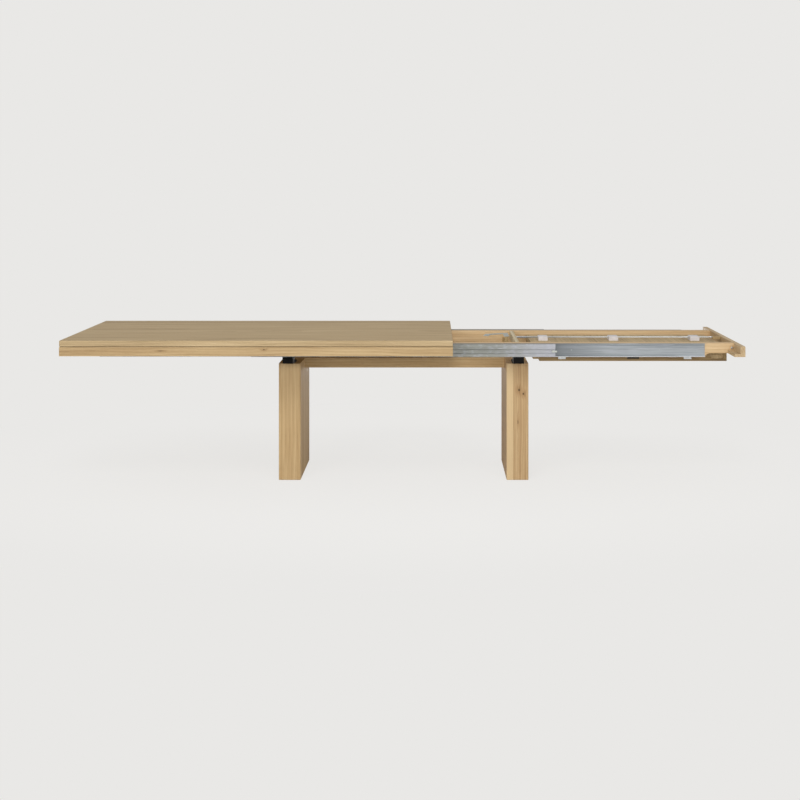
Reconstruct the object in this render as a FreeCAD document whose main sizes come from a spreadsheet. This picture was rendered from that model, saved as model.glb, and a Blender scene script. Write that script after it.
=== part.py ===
"""Draw leaf table, open at both ends, with its spare leaves stored in the right-hand draw frame.

Millimetres, +Z up.  The origin is on the floor under the middle of the open table, +X runs along
the table to the end that holds the leaves, and the front of the table faces -Y.
The base carries two fixed aluminium rails.  The left draw frame, with the table top on it, runs in
their outer slots, and the right draw frame, with the leaf tray in it, runs in their inner slots.
"""
import FreeCAD, Part
import os
import Sketcher
from FreeCAD import Placement, Rotation, Vector

DRIVING_SIZES = (
    # The table as a whole
    ("height", 760, "floor to table top"),
    ("top_length", 2000, "length of the closed table"),
    ("top_width", 1000, "width of the table, and length of a stored leaf"),
    ("top_thickness", 29, "table top"),
    ("top_corner", 4, "radius of the table top's upright corners"),
    ("top_edge", 2, "radius of the table top's long edges"),
    ("travel", 745, "how far each draw frame pulls out; the stored leaves fill both gaps"),
    ("top_clearance", 2, "room under the table top for what slides below it"),
    # Aprons and end boards
    ("apron_height", 50, "front and back apron"),
    ("apron_thickness", 20, "front and back apron"),
    ("shadow_depth", 11, "depth of the shadow rebate above an apron's face"),
    ("shadow_height", 4, "height of the shadow rebate above an apron's face"),
    ("board_thickness", 25, "upright part of an end board"),
    ("board_height", 53, "right end board"),
    ("board_drop", 4, "right end board's top edge below the table top's underside"),
    ("board_side_gap", 2, "right end board to the aprons when closed"),
    ("lip_depth", 30, "lip at the foot of the right end board"),
    ("lip_height", 15, "lip at the foot of the right end board"),
    # Base
    ("leg_spread", 1312, "outer face of one leg to outer face of the other"),
    ("leg_thickness", 115, "slab leg, along the table"),
    ("leg_width", 516, "slab leg, across the table"),
    ("leg_edge", 4, "radius of a leg's upright edges"),
    ("foot_edge", 2, "bevel round a leg's foot"),
    ("beam_height", 52, "beam between the legs"),
    ("beam_thickness", 60, "beam between the legs"),
    ("bracket_width", 54, "black bracket, along the table"),
    ("bracket_plate", 9, "bracket's foot on the leg"),
    ("bracket_foot", 150, "table's middle to the inner end of a bracket's foot"),
    ("bracket_rise", 48, "leg top to the rail seat"),
    ("bracket_slope", 13, "how far a bracket's underside climbs"),
    ("bracket_gap", 4, "bracket's riser to the tray's hangers"),
    ("bracket_step", 10, "rail seat to the bracket's shoulder"),
    # Aluminium slides
    ("rail_length", 1576, "fixed rail and runners"),
    ("rail_height", 66, "fixed rail"),
    ("rail_width", 24, "fixed rail"),
    ("rail_wall", 4, "wall round a fixed rail's chambers"),
    ("slot_level", 28, "rail's foot to the middle of its slots"),
    ("slot_mouth", 24, "height of a slot's mouth"),
    ("slot_height", 32, "height of a slot behind its lips"),
    ("slot_depth", 9, "depth of a slot"),
    ("slot_lip", 3, "thickness of a slot's lips"),
    ("rib_level", 7.5, "middle of a slot to the rib on its web"),
    ("rib_height", 3, "rib along the web of a slot"),
    ("rib_depth", 2, "rib along the web of a slot"),
    ("slide_gap", 0.5, "clearance of a sliding shoe all round"),
    ("runner_thickness", 15, "depth of a runner's channel"),
    ("runner_wall", 3, "web and flanges of a runner"),
    ("runner_drop", 3, "right runner's lower edge below the fixed rail's"),
    ("left_runner_drop", 24, "left runner's lower edge below the middle of the slot"),
    ("shoe_length", 90, "sliding shoe"),
    ("shoe_height", 40, "sliding shoe, between the runner's flanges"),
    ("shoe_spacing", 640, "start of one shoe to the start of the next"),
    ("rail_inset", 177, "end of the open frame to the outer end of its runner"),
    ("stop_diameter", 13, "stop bolt's head"),
    ("stop_inset", 12, "fixed rail's end to the stop bolt"),
    ("stop_reach", 8, "stop tab beyond the fixed rail's end"),
    ("stop_tab", 2, "thickness of the stop tab"),
    # Oak rails of the draw frames
    ("right_rail_thickness", 52.5, "side rail of the right frame"),
    ("left_rail_thickness", 23, "side rail of the left frame"),
    ("arch_rise", 18, "arch under the right side rail's outer end"),
    ("arch_run", 34, "arch under the right side rail's outer end"),
    ("crossbar_height", 36, "crossbars"),
    ("crossbar_thickness", 30, "crossbar at a frame's hidden end"),
    ("left_crossbar_inset", 105, "open left end to the left crossbar's outer face"),
    # Stored leaves and their tray
    ("leaf_thickness", 24, "stored leaf"),
    ("leaf_edge", 1.5, "bevel along a stored leaf's edges"),
    ("leaf_inset", 65, "open right end to the leaves"),
    ("tray_gap", 4, "tray to the brackets below it"),
    ("tray_fit", 0.7, "stored leaves to the strips along the tray"),
    ("hanger_room", 15, "tray's edge to the oak side rails"),
    ("tray_thickness", 10, "tray plate"),
    ("tray_setback", 34, "leaves beyond the tray's inner end"),
    ("tray_end_thickness", 18, "block at the tray's outer end"),
    ("tray_end_height", 37, "block at the tray's outer end"),
    ("tray_side_thickness", 6, "strip along the tray's edge"),
    ("tray_side_height", 15, "strip along the tray's edge"),
    ("finger_slot", 62, "gap between the strip and the leaves' outer end"),
    ("hanger_width", 40, "steel hanger of the tray"),
    ("hanger_steel", 3, "steel of a hanger"),
    ("hanger_flange", 35, "hanger's flange, under the side rail"),
    ("hanger_lift", 0.5, "hanger's lower end above the tray plate"),
    ("hanger_near", 118, "tray's inner end to the inner hangers"),
    ("hanger_far", 206, "tray's outer end to the outer hangers"),
    ("bumper_length", 63, "dark bumper on the tray's edge"),
    ("bumper_thickness", 3, "dark bumper on the tray's edge"),
    # Hold-down rod, its pads and the turn lever
    ("rod_diameter", 8, "hold-down rod"),
    ("rod_seat", 12, "rod's length in its crossbar and in its socket"),
    ("sleeve_diameter", 11, "sleeve on the rod's inner end"),
    ("sleeve_length", 58, "sleeve on the rod's inner end"),
    ("rod_bar_thickness", 20, "crossbar that the rod rests in"),
    ("rod_bar_offset", 32, "lever's pivot to that crossbar"),
    ("socket_length", 44, "socket on the right end board"),
    ("socket_width", 28, "socket on the right end board"),
    ("socket_wall", 6, "below the rod in its socket"),
    ("pad_length", 49, "white pad along the rod"),
    ("pad_width", 80, "white pad across the rod"),
    ("pad_bore_gap", 0.15, "pad's bore round the rod"),
    ("pad_edge", 3, "radius of a pad's long edges"),
    ("pad_near", 71, "leaves' inner end to the inner pad"),
    ("pad_middle", 453, "leaves' inner end to the middle pad"),
    ("pad_far", 107, "leaves' outer end to the outer pad"),
    ("pivot_gap", 125, "lever's pivot to the leaves' inner end"),
    ("lever_thickness", 2.5, "turn lever"),
    ("lever_gap", 0.5, "lever above the rod and the crossbar"),
    ("lever_tail", 126, "pivot to the end of the lever's grip, along the table"),
    ("lever_span", 140, "pivot to the lever's elbow, across the table"),
    ("lever_heel", 14, "half the width of the lever's web, and pivot to its near edge"),
    ("lever_arm", 44, "lever's arm beside its elbow, across the table"),
    ("grip_length", 42, "lever's grip, along the table"),
    ("grip_far", 90, "pivot to the far corner of the grip, across the table"),
    ("grip_near", 60, "pivot to the arm's near side at the grip, across the table"),
    ("grip_drop", 4, "how far the grip's near corner lies in front of the pivot"),
    ("grip_slant", 18, "how far the grip's end is cut back across the table"),
    ("pin_diameter", 8, "lever's pivot pin"),
    ("pin_gap", 0.05, "pin to its bore in the post, all round"),
    ("pin_depth", 30, "pin's length in the post"),
    ("post_length", 18, "lever's post, along the table"),
    ("post_width", 24, "lever's post, across the table"),
    ("strap_steel", 6, "steel strap that carries the post"),
    ("strap_rise", 4.5, "strap above the right side rail's lower edge"),
    ("strap_flange", 28, "strap's upturned ends"),
)
LEAF_COUNT = 3

# Heights, worked out from the table top down to the tray
UNDERSIDE = "(dim.height - dim.top_thickness)"
LEVER_TOP = f"({UNDERSIDE} - dim.top_clearance)"
LEVER_LOW = f"({LEVER_TOP} - dim.lever_thickness)"
RAIL_TOP = f"({LEVER_LOW} - dim.lever_gap)"
RAIL_LOW = f"({RAIL_TOP} - dim.rail_height)"
RUNNER_LOW = f"({RAIL_LOW} - dim.runner_drop)"
SLOT_MIDDLE = f"({RAIL_LOW} + dim.slot_level)"
LEG_TOP = f"({RAIL_LOW} - dim.bracket_rise)"
APRON_LOW = f"({UNDERSIDE} - dim.apron_height)"
BOARD_TOP = f"({UNDERSIDE} - dim.board_drop)"
BOARD_LOW = f"({BOARD_TOP} - dim.board_height)"
LIP_TOP = f"({BOARD_LOW} + dim.lip_height)"
CROSSBAR_LOW = f"({RAIL_TOP} - dim.crossbar_height)"
TRAY_LOW = f"({LEG_TOP} + dim.bracket_plate + dim.tray_gap)"
TRAY_TOP = f"({TRAY_LOW} + dim.tray_thickness)"
STACK_TOP = f"({TRAY_TOP} + {LEAF_COUNT} * dim.leaf_thickness)"
ROD_MIDDLE = f"({RAIL_TOP} - dim.rod_diameter / 2)"
ROD_LOW = f"({RAIL_TOP} - dim.rod_diameter)"
STRAP_LOW = f"({RUNNER_LOW} + dim.strap_rise)"
STRAP_TOP = f"({STRAP_LOW} + dim.strap_steel)"

# Places along the table, with both frames pulled out
OPEN_END = "(dim.top_length / 2 + dim.travel)"
BOARD_IN = f"({OPEN_END} - dim.board_thickness)"
LIP_IN = f"({BOARD_IN} - dim.lip_depth)"
RUNNER_OUT = f"({OPEN_END} - dim.rail_inset)"
RUNNER_IN = f"({RUNNER_OUT} - dim.rail_length)"
ARCH_END = f"({RUNNER_OUT} + dim.arch_run)"
RAIL_END = "(dim.rail_length / 2)"
LEG_OUT = "(dim.leg_spread / 2)"
LEG_IN = f"({LEG_OUT} - dim.leg_thickness)"
LEG_MIDDLE = f"({LEG_OUT} - dim.leg_thickness / 2)"
LEAF_OUT = f"({OPEN_END} - dim.leaf_inset)"
LEAF_IN = f"({LEAF_OUT} - dim.top_width)"
TRAY_IN = f"({LEAF_IN} + dim.tray_setback)"
TRAY_OUT = f"({LEAF_OUT} + dim.tray_end_thickness)"
PIVOT = f"({LEAF_IN} - dim.pivot_gap)"
ROD_BAR_IN = f"({PIVOT} + dim.rod_bar_offset)"
ROD_BAR_OUT = f"({ROD_BAR_IN} + dim.rod_bar_thickness)"
ROD_IN = f"({ROD_BAR_OUT} - dim.rod_seat)"
SOCKET_IN = f"({BOARD_IN} - dim.socket_length)"
ROD_OUT = f"({SOCKET_IN} + dim.rod_seat)"

# Places across the table, from its middle outwards
HALF_LEAF = f"(dim.travel / {LEAF_COUNT})"
HALF_TRAY = f"({HALF_LEAF} + dim.tray_fit + dim.tray_side_thickness)"
RISER_INNER = f"({HALF_TRAY} + dim.hanger_steel + dim.bracket_gap)"
RIGHT_RAIL_INNER = f"({HALF_TRAY} + dim.hanger_room)"
RIGHT_RUNNER_BACK = f"({RIGHT_RAIL_INNER} + dim.right_rail_thickness)"
RIGHT_RUNNER_FACE = f"({RIGHT_RUNNER_BACK} + dim.runner_thickness)"
RAIL_INNER = f"({RIGHT_RUNNER_FACE} + dim.slide_gap)"
RAIL_OUTER = f"({RAIL_INNER} + dim.rail_width)"
LEFT_RUNNER_FACE = f"({RAIL_OUTER} + dim.slide_gap)"
LEFT_RUNNER_BACK = f"({LEFT_RUNNER_FACE} + dim.runner_thickness)"
LEFT_RAIL_OUTER = f"({LEFT_RUNNER_BACK} + dim.left_rail_thickness)"
HALF_TOP = "(dim.top_width / 2)"
APRON_INNER = f"({HALF_TOP} - dim.apron_thickness)"
HALF_LEG = "(dim.leg_width / 2)"

SIDES = (("front", -1), ("back", 1))
ENDS = (("left", -1), ("right", 1))
ALONG_X = Rotation(Vector(0, 1, 0), 90)
ALONG_Y = Rotation(Vector(1, 0, 0), -90)

doc = FreeCAD.newDocument("draw_leaf_table")
dim = doc.addObject("Spreadsheet::Sheet", "dim")
for row, (alias, number, meaning) in enumerate(DRIVING_SIZES, start=1):
    dim.set(f"A{row}", meaning)
    dim.set(f"B{row}", str(number))
    dim.setAlias(f"B{row}", alias)
doc.recompute()
pieces = []


def number(expression):
    """The value of an expression at the sheet's present sizes."""
    return float(dim.evalExpression(str(expression)))


def mirrored(sign, low, high):
    """A pair of limits across the table, on the back (1) or the front (-1)."""
    return (low, high) if sign > 0 else (f"-({high})", f"-({low})")


def place(piece, x="0", y="0", z="0"):
    for axis, expression in zip("xyz", (x, y, z)):
        piece.setExpression(f"Placement.Base.{axis}", str(expression))


def keep(piece, name):
    piece.Label = name
    pieces.append(piece)
    return piece


def block(name, x, y, z):
    """A box between a low and a high limit along each axis."""
    piece = doc.addObject("Part::Box", name)
    for side, (low, high) in zip(("Length", "Width", "Height"), (x, y, z)):
        piece.setExpression(side, f"({high}) - ({low})")
    place(piece, x[0], y[0], z[0])
    return piece


def rod(name, turn, radius, length, x, y, z):
    """A cylinder that starts at a point and runs the way that turn takes +Z."""
    piece = doc.addObject("Part::Cylinder", name)
    piece.Placement = Placement(Vector(), turn)
    piece.setExpression("Radius", radius)
    piece.setExpression("Height", length)
    place(piece, x, y, z)
    return piece


def combined(kind, name, base, tool):
    piece = doc.addObject(kind, name)
    piece.Base = base
    piece.Tool = tool
    return piece


def draw_outline(sketch, points):
    """A closed outline of straight lines, every corner held by two driven distances."""
    first = sketch.GeometryCount
    corners = [Vector(number(across), number(up), 0) for across, up in points]
    last = len(corners) - 1
    for index, corner in enumerate(corners):
        following = corners[0] if index == last else corners[index + 1]
        sketch.addGeometry(Part.LineSegment(corner, following), False)
    for index, (across, up) in enumerate(points):
        line = first + index
        following = first if index == last else line + 1
        sketch.addConstraint(Sketcher.Constraint("Coincident", line, 2, following, 1))
        for kind, expression in (("DistanceX", across), ("DistanceY", up)):
            rule = Sketcher.Constraint(kind, -1, 1, line, 1, number(expression))
            held = sketch.addConstraint(rule)
            sketch.setExpression(f"Constraints[{held}]", str(expression))


def draw_circle(sketch, across, up, radius):
    """A circle whose centre and radius are driven."""
    middle = Vector(number(across), number(up), 0)
    line = sketch.addGeometry(Part.Circle(middle, Vector(0, 0, 1), number(radius)), False)
    for kind, expression in (("DistanceX", across), ("DistanceY", up)):
        rule = Sketcher.Constraint(kind, -1, 1, line, 3, number(expression))
        held = sketch.addConstraint(rule)
        sketch.setExpression(f"Constraints[{held}]", str(expression))
    held = sketch.addConstraint(Sketcher.Constraint("Radius", line, number(radius)))
    sketch.setExpression(f"Constraints[{held}]", str(radius))


def new_sketch(body, name, plane):
    sketch = body.newObject("Sketcher::SketchObject", name)
    datum = [item for item in body.Origin.OriginFeatures if item.Role == plane][0]
    sketch.AttachmentSupport = [(datum, "")]
    sketch.MapMode = "FlatFace"
    return sketch


def profile(name, plane, outlines, length, side_type="One side", circles=()):
    """A body padded from closed outlines drawn on one of its own origin planes."""
    body = doc.addObject("PartDesign::Body", name)
    sketch = new_sketch(body, f"{name}_outline", plane)
    for outline in outlines:
        draw_outline(sketch, outline)
    for circle in circles:
        draw_circle(sketch, *circle)
    pad = body.newObject("PartDesign::Pad", f"{name}_pad")
    pad.Profile = sketch
    pad.SideType = side_type
    pad.setExpression("Length", length)
    doc.recompute()
    return body


def rounded(body, radius, wanted):
    """Round the edges of the body's last feature that the test wants."""
    base = body.Tip
    names = [f"Edge{index}" for index, edge in enumerate(base.Shape.Edges, start=1) if wanted(edge)]
    fillet = body.newObject("PartDesign::Fillet", f"{body.Name}_edges_{len(body.Group)}")
    fillet.Base = (base, names)
    fillet.setExpression("Radius", radius)
    doc.recompute()
    return body


def bevelled(body, size, wanted):
    """Bevel the edges of the body's last feature that the test wants."""
    base = body.Tip
    names = [f"Edge{index}" for index, edge in enumerate(base.Shape.Edges, start=1) if wanted(edge)]
    bevel = body.newObject("PartDesign::Chamfer", f"{body.Name}_bevel_{len(body.Group)}")
    bevel.Base = (base, names)
    bevel.setExpression("Size", size)
    doc.recompute()
    return body


def runs_along(axis):
    """A test for straight edges parallel to an axis."""
    def wanted(edge):
        ends = [vertex.Point for vertex in edge.Vertexes]
        if len(ends) != 2:
            return False
        return abs((ends[1] - ends[0]).normalize().dot(axis)) > 0.999
    return wanted


def rectangle(x, y):
    return [(x[0], y[0]), (x[1], y[0]), (x[1], y[1]), (x[0], y[1])]


def mirror_outline(points, sign):
    return [(f"{sign} * ({across})", up) for across, up in points]


# ---------------------------------------------------------------- base

def legs():
    for end, sign in ENDS:
        name = f"leg_{end}"
        outline = rectangle(mirrored(sign, LEG_IN, LEG_OUT), (f"-{HALF_LEG}", HALF_LEG))
        body = profile(name, "XY_Plane", [outline], LEG_TOP)
        rounded(body, "dim.leg_edge", runs_along(Vector(0, 0, 1)))
        bevelled(body, "dim.foot_edge", at_foot)
        keep(body, name)


def at_foot(edge):
    return edge.BoundBox.ZMax < 0.01


def stretcher_beam():
    name = "stretcher_beam"
    across = ("-dim.beam_thickness / 2", "dim.beam_thickness / 2")
    up = (f"{LEG_TOP} - dim.beam_height", LEG_TOP)
    keep(block(name, (f"-{LEG_IN}", LEG_IN), across, up), name)


def brackets():
    """Cranked arms from the leg tops out to the rail seats, clear of the tray between them."""
    foot_top = f"{LEG_TOP} + dim.bracket_plate"
    shoulder = f"{RAIL_LOW} - dim.bracket_step"
    shoulder_edge = f"{RAIL_INNER} + dim.slide_gap"
    points = [
        ("dim.bracket_foot", LEG_TOP),
        (HALF_LEG, LEG_TOP),
        (RAIL_OUTER, f"{LEG_TOP} + dim.bracket_slope"),
        (RAIL_OUTER, RAIL_LOW),
        (shoulder_edge, RAIL_LOW),
        (shoulder_edge, shoulder),
        (RISER_INNER, shoulder),
        (RISER_INNER, foot_top),
        ("dim.bracket_foot", foot_top),
    ]
    for end, end_sign in ENDS:
        for side, sign in SIDES:
            name = f"bracket_{end}_{side}"
            outline = mirror_outline(points, sign)
            body = profile(name, "YZ_Plane", [outline], "dim.bracket_width", "Symmetric")
            place(body, x=f"{end_sign} * {LEG_MIDDLE}")
            keep(body, name)


def fixed_rails():
    """Extrusions with a ribbed T slot in each face, and a chamber above the slots."""
    mouth = (f"{SLOT_MIDDLE} - dim.slot_mouth / 2", f"{SLOT_MIDDLE} + dim.slot_mouth / 2")
    slot = (f"{SLOT_MIDDLE} - dim.slot_height / 2", f"{SLOT_MIDDLE} + dim.slot_height / 2")
    rib = (
        f"{SLOT_MIDDLE} + dim.rib_level - dim.rib_height / 2",
        f"{SLOT_MIDDLE} + dim.rib_level + dim.rib_height / 2",
    )

    def slot_outline(face, into):
        """One slot's corners, from its mouth's lower edge up; into is the way to the web."""
        lip = f"{face} + {into} * dim.slot_lip"
        web = f"{face} + {into} * dim.slot_depth"
        crest = f"{face} + {into} * (dim.slot_depth - dim.rib_depth)"
        return [
            (face, mouth[0]), (lip, mouth[0]), (lip, slot[0]), (web, slot[0]),
            (web, rib[0]), (crest, rib[0]), (crest, rib[1]), (web, rib[1]),
            (web, slot[1]), (lip, slot[1]), (lip, mouth[1]), (face, mouth[1]),
        ]
    outer_slot = slot_outline(RAIL_OUTER, -1)
    inner_slot = slot_outline(RAIL_INNER, 1)[::-1]
    foot = [(RAIL_INNER, RAIL_LOW), (RAIL_OUTER, RAIL_LOW)]
    head = [(RAIL_OUTER, RAIL_TOP), (RAIL_INNER, RAIL_TOP)]
    outline = foot + outer_slot + head + inner_slot
    walls = (f"{RAIL_INNER} + dim.rail_wall", f"{RAIL_OUTER} - dim.rail_wall")
    chamber = rectangle(walls, (f"{slot[1]} + dim.rail_wall", f"{RAIL_TOP} - dim.rail_wall"))
    for side, sign in SIDES:
        name = f"fixed_rail_{side}"
        outlines = [mirror_outline(points, sign) for points in (outline, chamber)]
        keep(profile(name, "YZ_Plane", outlines, "dim.rail_length", "Symmetric"), name)


def rail_stops():
    """A bolt in the rail's free slot end, holding a tab that reaches past the rail."""
    bolt_x = f"({RAIL_END} - dim.stop_inset)"
    radius = "dim.stop_diameter / 2"
    for end, end_sign, face in (("right", 1, RAIL_OUTER), ("left", -1, RAIL_INNER)):
        crest = f"({face} - {end_sign} * (dim.slot_depth - dim.rib_depth))"
        tab_face = f"({face} + {end_sign} * dim.stop_tab)"
        across = (crest, tab_face) if end_sign > 0 else (tab_face, crest)
        tab = (face, tab_face) if end_sign > 0 else (tab_face, face)
        for side, sign in SIDES:
            name = f"rail_stop_{end}_{side}"
            limits = mirrored(sign, *across)
            length = f"({limits[1]}) - ({limits[0]})"
            start = (f"{end_sign} * {bolt_x}", limits[0], SLOT_MIDDLE)
            bolt = rod(f"{name}_bolt", ALONG_Y, radius, length, *start)
            reach = mirrored(end_sign, bolt_x, f"{RAIL_END} + dim.stop_reach")
            up = (f"{SLOT_MIDDLE} - dim.stop_diameter / 3", f"{SLOT_MIDDLE} + dim.stop_diameter / 3")
            plate = block(f"{name}_tab", reach, mirrored(sign, *tab), up)
            keep(combined("Part::Fuse", name, bolt, plate), name)


# ---------------------------------------------------------------- left draw frame and table top

def table_top():
    name = "table_top"
    outline = rectangle(
        (f"-{OPEN_END}", f"dim.top_length - {OPEN_END}"),
        (f"-{HALF_TOP}", HALF_TOP),
    )
    body = profile(name, "XY_Plane", [outline], "dim.top_thickness")
    place(body, z=UNDERSIDE)
    rounded(body, "dim.top_corner", runs_along(Vector(0, 0, 1)))
    surface = number("dim.top_thickness")

    def upper_rim(edge):
        return edge.BoundBox.ZMin > surface - 0.01
    rounded(body, "dim.top_edge", upper_rim)
    keep(body, name)


def aprons():
    """Aprons under the table top's long edges, with a shadow gap along the joint."""
    notch_y = f"{HALF_TOP} - dim.shadow_depth"
    notch_z = f"{UNDERSIDE} - dim.shadow_height"
    points = [
        (APRON_INNER, APRON_LOW),
        (HALF_TOP, APRON_LOW),
        (HALF_TOP, notch_z),
        (notch_y, notch_z),
        (notch_y, UNDERSIDE),
        (APRON_INNER, UNDERSIDE),
    ]
    for side, sign in SIDES:
        name = f"apron_{side}"
        body = profile(name, "YZ_Plane", [mirror_outline(points, sign)], "dim.top_length")
        place(body, x=f"-{OPEN_END}")
        keep(body, name)


def left_frame():
    """Oak rails under the top, tied by the end board and a crossbar at the outer end only."""
    across = (f"-{APRON_INNER}", APRON_INNER)
    board = block("left_end_board", (f"-{OPEN_END}", f"-{BOARD_IN}"), across, (APRON_LOW, UNDERSIDE))
    keep(board, "left_end_board")
    bar_x = f"(dim.left_crossbar_inset - {OPEN_END})"
    bar_y = (f"-{LEFT_RUNNER_BACK}", LEFT_RUNNER_BACK)
    bar_z = (f"{UNDERSIDE} - dim.crossbar_height", UNDERSIDE)
    bar = block("left_crossbar", (bar_x, f"{bar_x} + dim.crossbar_thickness"), bar_y, bar_z)
    keep(bar, "left_crossbar")
    for side, sign in SIDES:
        name = f"left_side_rail_{side}"
        limits = mirrored(sign, LEFT_RUNNER_BACK, LEFT_RAIL_OUTER)
        keep(block(name, (f"-{BOARD_IN}", f"-{RUNNER_IN}"), limits, (APRON_LOW, UNDERSIDE)), name)


def channel_outline(back, face, into, low):
    """A runner's section: a channel with its back on the oak rail, open towards the fixed rail.

    back and face are the channel's two sides, and into is the way that it opens.
    """
    web = f"({back} + {into} * dim.runner_wall)"
    return [
        (back, low),
        (face, low),
        (face, f"{low} + dim.runner_wall"),
        (web, f"{low} + dim.runner_wall"),
        (web, f"{RAIL_TOP} - dim.runner_wall"),
        (face, f"{RAIL_TOP} - dim.runner_wall"),
        (face, RAIL_TOP),
        (back, RAIL_TOP),
    ]


def shoe_outline(back, face, into):
    """A shoe's section: a block in the runner's channel, and a T tongue in the fixed rail's slot."""
    web = f"({back} + {into} * dim.runner_wall)"
    neck = f"({face} + {into} * (dim.slot_lip + 2 * dim.slide_gap))"
    head = f"({face} + {into} * (dim.slot_depth - dim.rib_depth))"
    neck_half = "(dim.slot_mouth / 2 - dim.slide_gap)"
    head_half = "(dim.slot_height / 2 - dim.slide_gap)"
    steps = [
        (web, "dim.shoe_height / 2"),
        (face, "dim.shoe_height / 2"),
        (face, neck_half),
        (neck, neck_half),
        (neck, head_half),
        (head, head_half),
    ]
    lower = [(across, f"{SLOT_MIDDLE} - {half}") for across, half in steps]
    upper = [(across, f"{SLOT_MIDDLE} + {half}") for across, half in reversed(steps)]
    return lower + upper


def runners():
    left_low = f"{SLOT_MIDDLE} - dim.left_runner_drop"
    frames = (
        ("left", LEFT_RUNNER_BACK, LEFT_RUNNER_FACE, -1, left_low, f"-{RUNNER_OUT}"),
        ("right", RIGHT_RUNNER_BACK, RIGHT_RUNNER_FACE, 1, RUNNER_LOW, RUNNER_IN),
    )
    for end, back, face, into, low, start in frames:
        points = channel_outline(back, face, into, low)
        for side, sign in SIDES:
            name = f"{end}_runner_{side}"
            body = profile(name, "YZ_Plane", [mirror_outline(points, sign)], "dim.rail_length")
            place(body, x=start)
            keep(body, name)


def shoes():
    """Two shoes to a runner, both inside the fixed rail at either end of the travel."""
    frames = (
        ("left", -1, LEFT_RUNNER_BACK, LEFT_RUNNER_FACE, -1),
        ("right", 1, RIGHT_RUNNER_BACK, RIGHT_RUNNER_FACE, 1),
    )
    for end, end_sign, back, face, into in frames:
        points = shoe_outline(back, face, into)
        for place_name, offset in (("inner", "0"), ("outer", "dim.shoe_spacing")):
            middle = f"({RUNNER_IN} + {offset} + dim.shoe_length / 2)"
            for side, sign in SIDES:
                name = f"{end}_shoe_{place_name}_{side}"
                outline = mirror_outline(points, sign)
                body = profile(name, "YZ_Plane", [outline], "dim.shoe_length", "Symmetric")
                place(body, x=f"{end_sign} * {middle}")
                keep(body, name)


# ---------------------------------------------------------------- right draw frame

def right_side_rails():
    """Oak side rails: full depth behind the runner, arched up beyond it and seated on the lip."""
    arch_top = f"({RUNNER_LOW} + dim.arch_rise)"
    arch_radius = "((dim.arch_run * dim.arch_run + dim.arch_rise * dim.arch_rise) / (2 * dim.arch_rise))"
    points = [
        (RUNNER_IN, RUNNER_LOW),
        (ARCH_END, RUNNER_LOW),
        (ARCH_END, arch_top),
        (LIP_IN, arch_top),
        (LIP_IN, LIP_TOP),
        (BOARD_IN, LIP_TOP),
        (BOARD_IN, RAIL_TOP),
        (RUNNER_IN, RAIL_TOP),
    ]
    for side, sign in SIDES:
        name = f"right_side_rail_{side}"
        body = profile(name, "XZ_Plane", [points], "dim.right_rail_thickness", "Symmetric")
        sketch = new_sketch(body, f"{name}_arch", "XZ_Plane")
        draw_circle(sketch, ARCH_END, f"{arch_top} - {arch_radius}", arch_radius)
        arch = body.newObject("PartDesign::Pocket", f"{name}_arch_cut")
        arch.Profile = sketch
        arch.SideType = "Symmetric"
        arch.setExpression("Length", "2 * dim.right_rail_thickness")
        doc.recompute()
        place(body, y=f"{sign} * ({RIGHT_RAIL_INNER} + dim.right_rail_thickness / 2)")
        keep(body, name)


def right_end_board():
    """L-section board: an upright across the end, and a lip that the side rails sit on."""
    points = [
        (LIP_IN, BOARD_LOW),
        (OPEN_END, BOARD_LOW),
        (OPEN_END, BOARD_TOP),
        (BOARD_IN, BOARD_TOP),
        (BOARD_IN, LIP_TOP),
        (LIP_IN, LIP_TOP),
    ]
    length = f"2 * ({APRON_INNER} - dim.board_side_gap)"
    body = profile("right_end_board", "XZ_Plane", [points], length, "Symmetric")
    keep(body, "right_end_board")


def crossbars():
    across = (f"-{RIGHT_RAIL_INNER}", RIGHT_RAIL_INNER)
    up = (CROSSBAR_LOW, RAIL_TOP)
    inner = block("inner_crossbar", (RUNNER_IN, f"{RUNNER_IN} + dim.crossbar_thickness"), across, up)
    keep(inner, "inner_crossbar")
    bar = block("rod_crossbar_blank", (ROD_BAR_IN, ROD_BAR_OUT), across, up)
    half = "dim.rod_diameter / 2"
    notch = block("rod_crossbar_notch", (ROD_IN, ROD_BAR_OUT), (f"-{half}", half), (ROD_LOW, RAIL_TOP))
    keep(combined("Part::Cut", "rod_crossbar", bar, notch), "rod_crossbar")


def leaf_tray():
    across = (f"-{HALF_TRAY}", HALF_TRAY)
    keep(block("leaf_tray", (TRAY_IN, TRAY_OUT), across, (TRAY_LOW, TRAY_TOP)), "leaf_tray")
    end_z = (TRAY_TOP, f"{TRAY_TOP} + dim.tray_end_height")
    keep(block("tray_end_block", (LEAF_OUT, TRAY_OUT), across, end_z), "tray_end_block")
    bumper_x = f"(({TRAY_IN} + {TRAY_OUT}) / 2)"
    side_top = f"({TRAY_TOP} + dim.tray_side_height)"
    bumper_low = f"{TRAY_TOP} + dim.bumper_thickness / 2"
    for side, sign in SIDES:
        name = f"tray_side_{side}"
        edge = mirrored(sign, f"{HALF_TRAY} - dim.tray_side_thickness", HALF_TRAY)
        keep(block(name, (TRAY_IN, f"{LEAF_OUT} - dim.finger_slot"), edge, (TRAY_TOP, side_top)), name)
        name = f"tray_bumper_{side}"
        length = (f"{bumper_x} - dim.bumper_length / 2", f"{bumper_x} + dim.bumper_length / 2")
        face = mirrored(sign, HALF_TRAY, f"{HALF_TRAY} + dim.bumper_thickness")
        keep(block(name, length, face, (bumper_low, side_top)), name)


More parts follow.
